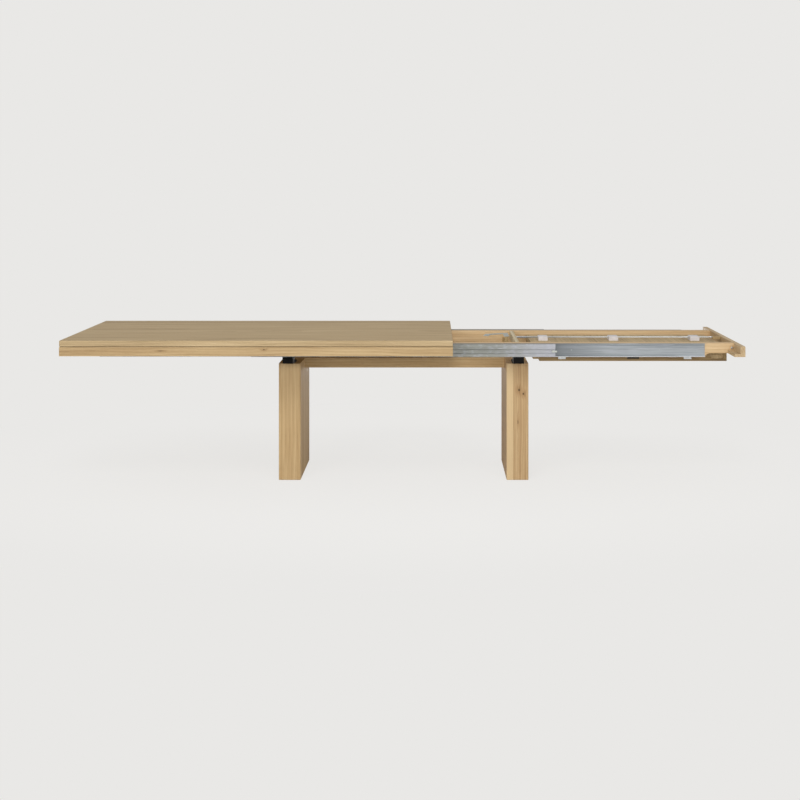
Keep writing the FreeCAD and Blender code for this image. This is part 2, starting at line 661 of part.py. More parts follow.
def tray_hangers():
    """Steel angles screwed under the oak side rails, with the tray's edges between them."""
    low = f"{TRAY_TOP} + dim.hanger_lift"
    outer = f"{HALF_TRAY} + dim.hanger_steel"
    flange_low = f"{RUNNER_LOW} - dim.hanger_steel"
    flange_edge = f"{HALF_TRAY} + dim.hanger_flange"
    points = [
        (HALF_TRAY, low),
        (outer, low),
        (outer, flange_low),
        (flange_edge, flange_low),
        (flange_edge, RUNNER_LOW),
        (HALF_TRAY, RUNNER_LOW),
    ]
    places = (("inner", f"{TRAY_IN} + dim.hanger_near"), ("outer", f"{TRAY_OUT} - dim.hanger_far"))
    for place_name, along in places:
        for side, sign in SIDES:
            name = f"tray_hanger_{place_name}_{side}"
            body = profile(name, "YZ_Plane", [mirror_outline(points, sign)], "dim.hanger_width", "Symmetric")
            place(body, x=along)
            keep(body, name)


def stored_leaves():
    outline = rectangle((LEAF_IN, LEAF_OUT), (f"-{HALF_LEAF}", HALF_LEAF))

    def level(edge):
        return edge.BoundBox.ZLength < 0.01
    for index in range(LEAF_COUNT):
        name = f"stored_leaf_{index + 1}"
        body = profile(name, "XY_Plane", [outline], "dim.leaf_thickness")
        bevelled(body, "dim.leaf_edge", level)
        place(body, z=f"{TRAY_TOP} + {index} * dim.leaf_thickness")
        keep(body, name)


def hold_down():
    """A rod along the stack, in a notched crossbar and a socket, with pads that press the leaves."""
    radius = "dim.rod_diameter / 2"
    bar = rod("rod_shaft", ALONG_X, radius, f"{ROD_OUT} - {ROD_IN}", ROD_IN, "0", ROD_MIDDLE)
    sleeve_radius = "dim.sleeve_diameter / 2"
    sleeve = rod("rod_sleeve", ALONG_X, sleeve_radius, "dim.sleeve_length", ROD_BAR_OUT, "0", ROD_MIDDLE)
    keep(combined("Part::Fuse", "hold_down_rod", bar, sleeve), "hold_down_rod")
    half = "dim.socket_width / 2"
    up = (f"{ROD_LOW} - dim.socket_wall", RAIL_TOP + " + dim.lever_gap")
    socket = block("rod_socket_block", (SOCKET_IN, BOARD_IN), (f"-{half}", half), up)
    bore = rod("rod_socket_bore", ALONG_X, radius, "dim.rod_seat", SOCKET_IN, "0", ROD_MIDDLE)
    keep(combined("Part::Cut", "rod_socket", socket, bore), "rod_socket")
    half = "dim.pad_width / 2"
    outline = rectangle((f"-{half}", half), (STACK_TOP, LEVER_TOP))
    circle = ("0", ROD_MIDDLE, f"{radius} + dim.pad_bore_gap")
    places = (f"{LEAF_IN} + dim.pad_near", f"{LEAF_IN} + dim.pad_middle", f"{LEAF_OUT} - dim.pad_far")
    for index, along in enumerate(places, start=1):
        name = f"leaf_pad_{index}"
        body = profile(name, "YZ_Plane", [outline], "dim.pad_length", "Symmetric", [circle])
        rim = number(LEVER_TOP)

        def upper_edge(edge):
            return runs_along(Vector(1, 0, 0))(edge) and edge.BoundBox.ZMax > rim - 0.01
        rounded(body, "dim.pad_edge", upper_edge)
        place(body, x=along)
        keep(body, name)


def lever_mount():
    """A steel strap between the side rails, and the oak post that the lever turns on."""
    ends = f"({RIGHT_RAIL_INNER} - dim.strap_steel)"
    flange_top = f"{STRAP_LOW} + dim.strap_flange"
    points = [
        (f"-{RIGHT_RAIL_INNER}", STRAP_LOW),
        (RIGHT_RAIL_INNER, STRAP_LOW),
        (RIGHT_RAIL_INNER, flange_top),
        (ends, flange_top),
        (ends, STRAP_TOP),
        (f"-{ends}", STRAP_TOP),
        (f"-{ends}", flange_top),
        (f"-{RIGHT_RAIL_INNER}", flange_top),
    ]
    strap = profile("lever_strap", "YZ_Plane", [points], "dim.post_length", "Symmetric")
    place(strap, x=PIVOT)
    keep(strap, "lever_strap")
    along = (f"{PIVOT} - dim.post_length / 2", f"{PIVOT} + dim.post_length / 2")
    half = "dim.post_width / 2"
    blank = block("lever_post_blank", along, (f"-{half}", half), (STRAP_TOP, RAIL_TOP))
    radius = "dim.pin_diameter / 2 + dim.pin_gap"
    bore_low = f"{RAIL_TOP} - dim.pin_depth"
    bore = rod("lever_post_bore", Rotation(), radius, "dim.pin_depth", PIVOT, "0", bore_low)
    keep(combined("Part::Cut", "lever_post", blank, bore), "lever_post")


# ---------------------------------------------------------------- turn lever

def turn_lever():
    """A flat steel bell crank on a riveted pin: a web, an elbow, and an arm with a wide grip."""
    grip_in = "(dim.grip_length - dim.lever_tail)"
    points = [
        ("-dim.lever_heel", "-dim.lever_heel"),
        ("dim.lever_heel", "-dim.lever_heel"),
        ("dim.lever_heel", "dim.lever_span"),
        ("-dim.lever_heel", "dim.lever_span"),
        ("dim.lever_heel - dim.lever_tail", "dim.grip_far"),
        ("-dim.lever_tail", "dim.grip_slant - dim.grip_drop"),
        (f"{grip_in} - dim.lever_heel", "-dim.grip_drop"),
        (grip_in, "dim.grip_near"),
        ("-dim.lever_heel", "dim.lever_span - dim.lever_arm"),
    ]
    bore = ("0", "0", "dim.pin_diameter / 2")
    lever = profile("turn_lever", "XY_Plane", [points], "dim.lever_thickness", circles=[bore])
    place(lever, PIVOT, "0", LEVER_LOW)
    keep(lever, "turn_lever")
    pin_low = f"({RAIL_TOP} - dim.pin_depth + dim.lever_gap)"
    length = f"{LEVER_TOP} - {pin_low}"
    pin = rod("lever_pin", Rotation(), "dim.pin_diameter / 2", length, PIVOT, "0", pin_low)
    keep(pin, "lever_pin")


def build():
    for make in (
        legs, stretcher_beam, brackets, fixed_rails, rail_stops,
        table_top, aprons, left_frame, runners, shoes,
        right_side_rails, right_end_board, crossbars, leaf_tray, tray_hangers,
        stored_leaves, hold_down, lever_mount, turn_lever,
    ):
        make()
    doc.recompute()


def write_steps():
    for item in doc.Objects:
        if "Invalid" in item.State or "Error" in item.State:
            raise RuntimeError(f"{item.Label} failed: {item.State}")
    os.makedirs("parts", exist_ok=True)
    for piece in pieces:
        if piece.Shape.isNull() or not piece.Shape.isValid():
            raise RuntimeError(f"{piece.Label} has no valid shape")
        piece.Shape.exportStep(f"parts/{piece.Label}.step")
        print(f"{piece.Label:28} {len(piece.Shape.Solids)} solid  {piece.Shape.Volume / 1000:10.1f} cm3")


build()
write_steps()
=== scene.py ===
# %% [markdown]
# A draw leaf table, pulled open at both ends.  The table top has slid out to the left on its draw
# frame.  The right draw frame has slid out too and shows what it carries: a tray with three spare
# leaves, held down by a steel rod.  The frame file holds every solid of the construction at its
# true size.  This lesson gives those solids their finishes, adds the small fasteners that are too
# fine for the construction model, and sets up the studio.  X runs along the table, Y from front
# to back and Z upwards, and lengths are in metres unless a comment says otherwise.

# %% Load the construction
import bmesh
import bpy
import math
from mathutils import Matrix, Vector


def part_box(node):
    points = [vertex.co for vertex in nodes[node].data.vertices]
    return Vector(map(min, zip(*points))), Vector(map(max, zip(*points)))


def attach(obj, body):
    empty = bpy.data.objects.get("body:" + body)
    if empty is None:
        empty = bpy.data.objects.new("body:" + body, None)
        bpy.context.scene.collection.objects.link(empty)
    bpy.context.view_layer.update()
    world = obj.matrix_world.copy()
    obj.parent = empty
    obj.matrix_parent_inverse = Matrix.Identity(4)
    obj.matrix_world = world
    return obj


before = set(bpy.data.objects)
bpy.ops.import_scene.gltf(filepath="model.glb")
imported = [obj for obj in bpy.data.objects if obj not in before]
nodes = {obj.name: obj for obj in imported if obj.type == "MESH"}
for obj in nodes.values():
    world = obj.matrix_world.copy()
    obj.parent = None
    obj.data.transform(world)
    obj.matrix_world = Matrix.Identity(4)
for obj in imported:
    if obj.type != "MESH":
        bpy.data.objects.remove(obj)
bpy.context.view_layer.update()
scene = bpy.context.scene

# %% [markdown]
# The camera comes first, because every later judgement is made through it.  It stands at eye
# height and looks level, so that the legs stay upright.  The lens is shifted down to bring the
# feet into view, as an architect would do with a view camera.

# %% Camera
IMAGE_SIDE = 800  # pixels, like the three sizes below
FOCAL_PIXELS = 1356.8
HORIZON_ROW = 183.0
VANISHING_COLUMN = 430.0
SENSOR_WIDTH = 36.0  # millimetres
EYE = (0.1386, -7.387, 1.5606)
VIEW_DEPTH = 200.0

camera_data = bpy.data.cameras.new("studio_camera")
camera_data.sensor_width = SENSOR_WIDTH
camera_data.lens = FOCAL_PIXELS * SENSOR_WIDTH / IMAGE_SIDE
camera_data.shift_x = (IMAGE_SIDE / 2 - VANISHING_COLUMN) / IMAGE_SIDE
camera_data.shift_y = (HORIZON_ROW - IMAGE_SIDE / 2) / IMAGE_SIDE
camera_data.clip_end = VIEW_DEPTH
camera = bpy.data.objects.new("studio_camera", camera_data)
camera.location = EYE
camera.rotation_euler = (math.radians(90), 0, 0)
scene.collection.objects.link(camera)
scene.camera = camera
print("lens", round(camera_data.lens, 2), "mm")

# %% [markdown]
# A finish is a small network of shader nodes.  Networks are hard to read as lists of links, so
# two classes let them be written as sums.  A Value stands for one output socket and understands
# the arithmetic operators.  A Network adds any node in one call, and a Finish is the network of
# one material.

# %% Helpers for writing finishes
# The sockets of a Mix node that mixes colours
MIX_FACTOR, MIX_A, MIX_B, MIX_RESULT = 0, 6, 7, 2


class Value:
    """A socket that arithmetic can be written on: each operator adds one Math node."""

    def __init__(self, network, socket):
        self.network = network
        self.socket = socket

    def math(self, operation, *inputs):
        settings = {"operation": operation}
        return self.network.add("ShaderNodeMath", settings, dict(enumerate(inputs)))

    def __add__(self, other):
        return self.math("ADD", self, other)

    def __sub__(self, other):
        return self.math("SUBTRACT", self, other)

    def __rsub__(self, other):
        return self.math("SUBTRACT", other, self)

    def __mul__(self, other):
        return self.math("MULTIPLY", self, other)

    def __truediv__(self, other):
        return self.math("DIVIDE", self, other)

    def __pow__(self, other):
        return self.math("POWER", self, other)

    def __gt__(self, other):
        return self.math("GREATER_THAN", self, other)

    def __lt__(self, other):
        return self.math("LESS_THAN", self, other)

    __radd__ = __add__

    def floor(self):
        return self.math("FLOOR", self)

    def fraction(self):
        return self.math("FRACT", self)

    def root(self):
        return self.math("SQRT", self)

    def size(self):
        return self.math("ABSOLUTE", self)

    def larger(self, other):
        return self.math("MAXIMUM", self, other)

    def fade(self, start, end):
        """A smooth step from 0 to 1 as the value goes from start to end."""
        settings = {"interpolation_type": "SMOOTHSTEP"}
        inputs = {"Value": self, "From Min": start, "From Max": end, "To Min": 0.0, "To Max": 1.0}
        return self.network.add("ShaderNodeMapRange", settings, inputs)


class Network:
    """A node tree that grows by one node for each call of add."""

    def __init__(self, tree):
        self.tree = tree

    def add(self, kind, settings=None, inputs=None, output=0):
        """Add a node, first its settings and then its inputs, and give back one output."""
        node = self.tree.nodes.new(kind)
        for name, setting in (settings or {}).items():
            setattr(node, name, setting)
        for key, given in (inputs or {}).items():
            if isinstance(given, Value):
                self.tree.links.new(given.socket, node.inputs[key])
            else:
                node.inputs[key].default_value = given
        return Value(self, node.outputs[output])

    def show(self, value, node_name):
        """Send a shader to the network's output node."""
        self.tree.links.new(value.socket, self.tree.nodes[node_name].inputs["Surface"])


class Finish(Network):
    """A material's network, with the constants of its Principled shader set by name."""

    def __init__(self, name, **constants):
        self.material = bpy.data.materials.new(name)
        self.material.use_nodes = True
        super().__init__(self.material.node_tree)
        self.shader = self.tree.nodes["Principled BSDF"]
        for socket, constant in constants.items():
            self.shader.inputs[socket.replace("_", " ")].default_value = constant

    def wire(self, socket, value):
        """Lead a Value to a socket of the Principled shader."""
        self.tree.links.new(value.socket, self.shader.inputs[socket])

    def place(self):
        """The place on the object, as three Values."""
        spot = self.add("ShaderNodeTexCoord", output="Object")
        return [self.add("ShaderNodeSeparateXYZ", inputs={0: spot}, output=axis)
                for axis in range(3)]

    def vector(self, *parts):
        return self.add("ShaderNodeCombineXYZ", inputs=dict(enumerate(parts)))

    def noise(self, scales, place, detail=3.0, roughness=0.5):
        """Noise between 0 and 1, with its own scale in cycles a metre along each axis."""
        stretched = self.vector(*(part * scale for part, scale in zip(place, scales)))
        inputs = {"Vector": stretched, "Scale": 1.0, "Detail": detail, "Roughness": roughness}
        return self.add("ShaderNodeTexNoise", {"noise_dimensions": "3D"}, inputs, "Fac")

    def chances(self, *key):
        """Three random numbers between 0 and 1 that depend on nothing but the key."""
        inputs = {"Vector": self.vector(*key)}
        colour = self.add("ShaderNodeTexWhiteNoise", {"noise_dimensions": "3D"}, inputs, "Color")
        return [self.add("ShaderNodeSeparateColor", inputs={0: colour}, output=part)
                for part in range(3)]

    def mix(self, factor, first, second):
        """The first colour at a factor of 0 and the second at a factor of 1."""
        inputs = {MIX_FACTOR: factor, MIX_A: first, MIX_B: second}
        return self.add("ShaderNodeMix", {"data_type": "RGBA"}, inputs, MIX_RESULT)

    def bump(self, height, strength, distance):
        inputs = {"Strength": strength, "Distance": distance, "Height": height}
        self.wire("Normal", self.add("ShaderNodeBump", inputs=inputs, output="Normal"))


def srgb(red, green, blue):
    """A colour given on a 0 to 255 scale, as the linear colour that shaders use.

    The numbers in the formula are those of the sRGB standard.
    """
    def linear(part):
        share = part / 255
        return share / 12.92 if share <= 0.04045 else ((share + 0.055) / 1.055) ** 2.4
    return (linear(red), linear(green), linear(blue), 1.0)


def scaled(colour, share):
    """The colour made darker by a share below 1, or lighter by a share above 1."""
    return tuple(part * share for part in colour[:3]) + (1.0,)


# %% [markdown]
# Oak is most of what is seen.  The boards are glued up from staves, each from another plank, so
# neighbouring staves differ in tone and in figure.  The stave's number picks a random tone and a
# random distance from the tree's heart.  Growth rings are circles round that heart, drawn out
# along the grain and pushed about by a slow noise, so one rule gives arcs on end grain and long
# flames on a flat face.  Knots push the rings aside and leave a dark eye.  Each is given by its
# place along the grain, its place across it, its radius and how far it is drawn out.

# %% Measures of oak
X, Y, Z = 0, 1, 2
ACROSS_GRAIN = {X: (Y, Z), Y: (X, Z), Z: (X, Y)}
KNOT_HEART = srgb(58, 38, 22)
SAPWOOD = srgb(226, 200, 156)

# Noise scales in cycles a metre, first along the grain and then across it
RING_DRIFT = (1.3, 5.0, 5.0)
STREAKS = (1.6, 46.0, 46.0)
FIBRES = (9.0, 520.0, 520.0)
PORES = (34.0, 1150.0, 1150.0)

# How far apart two staves can lie in the noise, so that each has a pattern of its own
RING_JUMP = 9.0
GRAIN_JUMP = 3.0
SIDE_JUMP = 0.2

# Growth rings: where their heart can lie, how far they drift and how a knot pushes them
HEART_SPREAD = 0.22
HEART_RANGE = 0.12
HEART_NEAREST = 0.05
DRIFT_WIDTH = 0.055
KNOT_PUSH = 0.012
LATE_WOOD_POWER = 2.5

# The eye's dark middle and the swirl's reach, in radii of the knot
EYE_MIDDLE = 0.4
SWIRL_REACH = 5.0

# How far each feature moves the tone, which is 0 for the darkest wood and 1 for the palest
MIDDLE_TONE = 0.64
FIBRE_TONE = 0.24
PORE_TONE = 0.16
SAPWOOD_TONE = 0.30
SWIRL_TONE = 0.30

# Where the pore noise turns into pores, and where the tone fades from one colour to the next
PORE_FADES = (0.64, 0.72)
DARK_FADES = (0.0, 0.55)
PALE_FADES = (0.45, 1.0)

# How much of another colour is laid over the wood
SAPWOOD_TINT = 0.36
GLUE_TINT = 0.35
EYE_TINT = 0.9

# The skin of a cut end, how much calmer its streaks are, and half the width of a glue line
CUT_DEPTH = 0.0004
CUT_CALM = 0.8
GLUE_REACH = 0.0006

# Gloss and relief
OAK_ROUGHNESS, FIBRE_ROUGHNESS, PORE_ROUGHNESS = 0.52, 0.12, 0.10
FIBRE_RELIEF, LATE_WOOD_RELIEF = 0.35, 0.25


# %% Oak
def knot_masks(along, across, knots):
    """Two masks for all the knots together: their dark eyes and their wide swirls."""
    eye, swirl = None, None
    for knot_along, knot_across, radius, stretch in knots:
        gap_along = (along - knot_along) / stretch
        gap_across = across - knot_across
        distance = (gap_along * gap_along + gap_across * gap_across).root()
        one_eye = distance.fade(radius, radius * EYE_MIDDLE)
        one_swirl = distance.fade(radius * SWIRL_REACH, 0.0)
        eye = one_eye if eye is None else eye.larger(one_eye)
        swirl = one_swirl if swirl is None else swirl.larger(one_swirl)
    return eye, swirl


def oak(name, grain, tones, seed, staves=(0.093, 0.2), borders=(0.0, 0.0), knots=(), knot_axis=0,
        variety=0.22, figure=0.24, streaks=1.0, ring_spacing=0.014, pale_strip=None, ends=None):
    """Oak with its grain along one axis, in three tones from dark to pale.

    It is glued from staves of two widths across the grain, which are cut at two borders.  A
    knot's place across the grain is on the first or the second of those axes.

    Variety is how much the staves differ in tone, figure how dark the late wood is, and streaks
    how strong they are.  A pale strip is a narrow stave of sapwood, on the low side of a place on
    each of the two axes across the grain.  Ends are the two places along the grain where the
    board was cut off: the streaks are weaker on those faces, because they only run lengthwise.
    """
    finish = Finish(name, IOR=1.45, Specular_IOR_Level=0.4)
    place = finish.place()
    along = place[grain]
    across = [place[axis] for axis in ACROSS_GRAIN[grain]]

    # Staves, and three random numbers for each
    stave = [(part - border) / width for part, border, width in zip(across, borders, staves)]
    chance = finish.chances(stave[0].floor(), stave[1].floor(), float(seed))
    eye, swirl = knot_masks(along, across[knot_axis], knots)

    # Growth rings round a heart that lies outside the board
    drifting = [along + chance[2] * RING_JUMP, across[0], across[1]]
    drift = finish.noise(RING_DRIFT, drifting, detail=2.0)
    heart = (across[0] - chance[0] * HEART_SPREAD + HEART_SPREAD / 2,
             across[1] + chance[1] * HEART_RANGE + HEART_NEAREST)
    radius = (heart[0] * heart[0] + heart[1] * heart[1]).root() + (drift - 0.5) * DRIFT_WIDTH
    if swirl is not None:
        radius = radius + swirl * KNOT_PUSH
    late_wood = (radius / ring_spacing).fraction() ** LATE_WOOD_POWER

    # Streaks and fibres run with the grain; pores are short dark dashes
    shifted = [along + chance[1] * GRAIN_JUMP, across[0] + chance[0] * SIDE_JUMP, across[1]]
    streak = finish.noise(STREAKS, shifted, detail=4.0, roughness=0.6)
    fibre = finish.noise(FIBRES, shifted, detail=2.0)
    pore = finish.noise(PORES, shifted, detail=1.0).fade(*PORE_FADES)
    streak = (streak - 0.5) * streaks
    if ends is not None:
        cut = (along < ends[0] + CUT_DEPTH).larger(along > ends[1] - CUT_DEPTH)
        streak = streak * (1.0 - cut * CUT_CALM)

    # All of them add up to one tone
    tone = MIDDLE_TONE + (chance[2] - 0.5) * variety + streak + (fibre - 0.5) * FIBRE_TONE
    tone = tone - late_wood * figure - pore * PORE_TONE
    if pale_strip is not None:
        sapwood = (across[0] < pale_strip[0]) * (across[1] < pale_strip[1])
        tone = tone + sapwood * SAPWOOD_TONE
    if swirl is not None:
        tone = tone - swirl * SWIRL_TONE

    # The tone picks a colour, and sapwood, glue lines and eyes are laid over it
    wood = finish.mix(tone.fade(*DARK_FADES), tones[0], tones[1])
    wood = finish.mix(tone.fade(*PALE_FADES), wood, tones[2])
    if pale_strip is not None:
        wood = finish.mix(sapwood * SAPWOOD_TINT, wood, SAPWOOD)
    glue = (stave[0].fraction() - 0.5).size() > 0.5 - GLUE_REACH / staves[0]
    wood = finish.mix(glue * GLUE_TINT, wood, tones[0])
    if eye is not None:
        wood = finish.mix(eye * EYE_TINT, wood, KNOT_HEART)
    finish.wire("Base Color", wood)
    finish.wire("Roughness", OAK_ROUGHNESS + fibre * FIBRE_ROUGHNESS + pore * PORE_ROUGHNESS)
    relief = fibre * FIBRE_RELIEF - pore - late_wood * LATE_WOOD_RELIEF
    finish.bump(relief, strength=0.32, distance=0.0004)
    return finish.material


# %% [markdown]
# Every board gets its own seed, so that no two look alike.  A narrow board is a single stave: its
# staves are given so wide, and their borders so placed, that none falls inside it.  The right leg
# has a narrow stave of sapwood at its front corner, and three knots.  The aprons have two small
# knots.

# %% The oak of each board
WARM_OAK = (srgb(118, 86, 50), srgb(182, 151, 107), srgb(208, 182, 138))
RED_OAK = (srgb(112, 80, 46), srgb(174, 140, 98), srgb(202, 174, 132))
APRON_OAK = (srgb(110, 80, 46), srgb(172, 143, 102), srgb(200, 174, 131))
PALE_OAK = (srgb(138, 106, 66), srgb(204, 173, 130), srgb(228, 202, 160))
BOARD_OAK = (srgb(120, 92, 58), srgb(184, 158, 120), srgb(206, 182, 144))
GREY_OAK = (srgb(128, 108, 76), srgb(196, 180, 146), srgb(216, 202, 172))
TOP_OAK = (srgb(112, 89, 56), srgb(180, 156, 117), srgb(204, 181, 141))
DULL_OAK = (srgb(90, 68, 40), srgb(154, 130, 90), srgb(182, 158, 116))

WIDE_STAVES = (0.3, 0.3)
TRAY_STAVES = (0.6, 0.6)
LONG_BORDERS = (-0.15, 0.5)
LEG_STAVE = 0.093
LEG_DEPTH_STAVE = 0.086
RIGHT_LEG_BORDER = 0.5766
SAPWOOD_DEPTH = 0.012
SAPWOOD_STRIP = (RIGHT_LEG_BORDER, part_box("leg_right")[0].y + SAPWOOD_DEPTH)
RIGHT_LEG_KNOTS = ((0.473, 0.6066, 0.006, 1.5), (0.453, 0.6286, 0.005, 1.5),
                   (0.305, 0.601, 0.0022, 7.0))
APRON_KNOTS = ((-0.705, 0.715, 0.003, 2.0), (-1.229, 0.708, 0.0015, 8.0))
TOP_ENDS = [corner.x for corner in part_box("table_top")]

oak_top = oak("oak_table_top", X, TOP_OAK, seed=2, variety=0.16, figure=0.16, streaks=1.2,
              ends=TOP_ENDS)
oak_apron = oak("oak_apron", X, APRON_OAK, seed=5, staves=WIDE_STAVES, borders=LONG_BORDERS,
                knots=APRON_KNOTS, knot_axis=1)
oak_left_leg = oak("oak_left_leg", Z, WARM_OAK, seed=31, staves=(0.3, LEG_DEPTH_STAVE),
                   borders=(-0.7, 0.0), figure=0.15, ring_spacing=0.019)
oak_right_leg = oak("oak_right_leg", Z, RED_OAK, seed=12, staves=(LEG_STAVE, LEG_DEPTH_STAVE),
                    borders=(RIGHT_LEG_BORDER, 0.0), knots=RIGHT_LEG_KNOTS, figure=0.19,
                    pale_strip=SAPWOOD_STRIP)
oak_beam = oak("oak_beam", X, WARM_OAK, seed=8, staves=WIDE_STAVES, borders=LONG_BORDERS)
oak_rail = oak("oak_draw_rail", X, PALE_OAK, seed=7, staves=WIDE_STAVES, borders=LONG_BORDERS,
               figure=0.16)
oak_board = oak("oak_end_board", Y, BOARD_OAK, seed=13, staves=WIDE_STAVES, figure=0.20)
oak_cross = oak("oak_crosswise", Y, GREY_OAK, seed=19, staves=WIDE_STAVES, figure=0.14)
oak_block = oak("oak_small_blocks", Z, DULL_OAK, seed=29, staves=WIDE_STAVES, figure=0.10)
oak_leaf = oak("oak_stored_leaf", Y, TOP_OAK, seed=17, staves=(0.1, 0.024), borders=(0.0, 0.635),
               variety=0.18)
oak_tray = oak("oak_tray", X, DULL_OAK, seed=23, staves=TRAY_STAVES, borders=(-0.3, 0.3),
               figure=0.06, ring_spacing=0.02)
oak_tray_end = oak("oak_tray_end", Y, DULL_OAK, seed=37, staves=TRAY_STAVES, borders=(1.4, 0.3),
                   figure=0.10)
print("oak finishes:", len([item for item in bpy.data.materials if item.name.startswith("oak_")]))

# %% [markdown]
# The slides are raw aluminium extrusions.  The die leaves fine lines along the bar, so the gloss
# is streaked lengthwise: the roughness and a very low bump both follow a noise that is stretched
# along X.  The bars are also clouded with pale patches, left by many hands, which are shorter on
# the fixed rails.  The steel parts are plated, which gives small pale and grey flakes.  The rod's
# flakes are drawn out along it.

# %% Measures of metal
HIGHLIGHT_METAL = srgb(222, 224, 226)
PALE_METAL = srgb(195, 197, 207)

# Noise scales in cycles a metre along X, Y and Z
DIE_LINES = (0.7, 900.0, 900.0)
DIE_BANDS = (0.9, 140.0, 140.0)
CLOUDS = (3.0, 18.0, 20.0)
RAIL_PATCHES = (34.0, 70.0, 70.0)
RUNNER_PATCHES = (7.0, 90.0, 110.0)
FLAKES = (160.0, 160.0, 160.0)
ROD_FLAKES = (1.5, 400.0, 400.0)
ORANGE_PEEL = (700.0, 700.0, 700.0)
WORN_PATCHES = (40.0, 40.0, 40.0)

# Where a noise or a tone fades from one colour to the next
BAR_FADES = (0.40, 0.60)
PATCH_FADES = (0.50, 0.68)
FLAKE_FADES = (0.35, 0.65)
WORN_FADES = (0.5, 0.75)

# How much of each noise is in a bar's tone, and how dark its darkest lines are
LINES_TONE, BANDS_TONE, CLOUDS_TONE = 0.25, 0.45, 0.30
DARK_LINE_SHARE = 0.64

# How much of the pale metal is laid over the patches, and over a bar's ends as a painted
# highlight
PATCH_TINT = 0.34
END_HIGHLIGHT_TINT = 0.7

# Places along the table where a fixed rail's painted highlight grows, where a runner's painted
# shade and the rod's darker end fade out, and the height below which a runner gets a painted
# highlight
RAIL_HIGHLIGHT_FADES = (0.42, 0.80)
RUNNER_SHADE_FADES = (0.70, 1.15)
ROD_FADES = (0.62, 1.10)
RUNNER_FOOT = 0.6595

# How dark the dimmed metal is, painted shade on a runner and a darker end on the rod, and how
# light worn powder coat is
DIMMED_SHARE = 0.52
WORN_SHARE = 1.8

# Gloss
BAR_ROUGHNESS, LINES_ROUGHNESS, CLOUDS_ROUGHNESS = 0.34, 0.16, 0.10
FLAKE_ROUGHNESS = 0.12
COAT_ROUGHNESS, PEEL_ROUGHNESS = 0.5, 0.2


# %% Metals
def extrusion(name, colour, patches, highlight_below=None, highlight_fades=None):
    """Drawn metal, with pale patches at scales in cycles a metre.

    A fixed rail is painted paler towards its ends, a painted highlight.

    A runner has a painted highlight along its foot, below a height, and painted shade where it
    dips into the middle of the table.
    """
    finish = Finish(name, Metallic=1.0)
    place = finish.place()
    lines = finish.noise(DIE_LINES, place, roughness=0.6)
    bands = finish.noise(DIE_BANDS, place, roughness=0.6)
    clouds = finish.noise(CLOUDS, place, detail=4.0, roughness=0.6)
    patch = finish.noise(patches, place, detail=2.0).fade(*PATCH_FADES)
    tone = lines * LINES_TONE + bands * BANDS_TONE + clouds * CLOUDS_TONE
    metal = finish.mix(tone.fade(*BAR_FADES), scaled(colour, DARK_LINE_SHARE), colour)
    metal = finish.mix(patch * PATCH_TINT, metal, PALE_METAL)
    # Painted highlight: a fixed rail is made paler towards both ends.
    if highlight_fades is not None:
        bright = place[X].size().fade(*highlight_fades)
        metal = finish.mix(bright * END_HIGHLIGHT_TINT, metal, PALE_METAL)
    # Painted shade darkens a runner towards the middle of the table, and a painted highlight
    # lightens its foot.
    if highlight_below is not None:
        undimmed = place[X].size().fade(*RUNNER_SHADE_FADES)
        metal = finish.mix(undimmed, scaled(colour, DIMMED_SHARE), metal)
        metal = finish.mix(place[Z] < highlight_below, metal, HIGHLIGHT_METAL)
    finish.wire("Base Color", metal)
    finish.wire("Roughness", BAR_ROUGHNESS + lines * LINES_ROUGHNESS + clouds * CLOUDS_ROUGHNESS)
    finish.bump(lines, strength=0.12, distance=0.0003)
    return finish.material


def plated_steel(name, colour, roughness, contrast=0.16, undim_fades=None, flakes=FLAKES):
    """Plated steel, darker until it fades to its full tone along the table, where fades are
    given.

    The flakes' scales are in cycles a metre along each axis, and the contrast is how much darker
    the grey ones are.
    """
    finish = Finish(name, Metallic=1.0)
    place = finish.place()
    flake = finish.noise(flakes, place, roughness=0.6)
    plating = finish.mix(flake.fade(*FLAKE_FADES), scaled(colour, 1.0 - contrast), colour)
    if undim_fades is not None:
        undimmed = place[X].fade(*undim_fades)
        plating = finish.mix(undimmed, scaled(colour, DIMMED_SHARE), plating)
    finish.wire("Base Color", plating)
    finish.wire("Roughness", roughness + flake * FLAKE_ROUGHNESS)
    finish.bump(flake, strength=0.06, distance=0.0002)
    return finish.material


def powder_coat(name, colour):
    """Powder coat with an orange peel, and paler where it is worn."""
    finish = Finish(name, Specular_IOR_Level=0.12)
    place = finish.place()
    peel = finish.noise(ORANGE_PEEL, place, detail=2.0)
    worn = finish.noise(WORN_PATCHES, place, detail=4.0, roughness=0.7).fade(*WORN_FADES)
    finish.wire("Base Color", finish.mix(worn, colour, scaled(colour, WORN_SHARE)))
    finish.wire("Roughness", COAT_ROUGHNESS + peel * PEEL_ROUGHNESS)
    finish.bump(peel, strength=0.25, distance=0.0003)
    return finish.material


# The fixed rails get a painted highlight towards their ends.
rail_metal = extrusion("aluminium_extrusion", srgb(164, 166, 160), RAIL_PATCHES,
                       highlight_fades=RAIL_HIGHLIGHT_FADES)
# The runners get painted shade towards the middle and a painted highlight along their feet.
runner_metal = extrusion("aluminium_runner", srgb(174, 180, 184), RUNNER_PATCHES,
                         highlight_below=RUNNER_FOOT)
steel = plated_steel("plated_steel", srgb(222, 225, 226), roughness=0.24)
# The rod is darker towards its left end.
rod_steel = plated_steel("drawn_rod_steel", srgb(226, 229, 230), roughness=0.30, contrast=0.06,
                         undim_fades=ROD_FADES, flakes=ROD_FLAKES)
lever_steel = plated_steel("lever_steel", srgb(208, 212, 206), roughness=0.36)
screw_steel = plated_steel("dull_screw_steel", srgb(172, 178, 182), roughness=0.40)
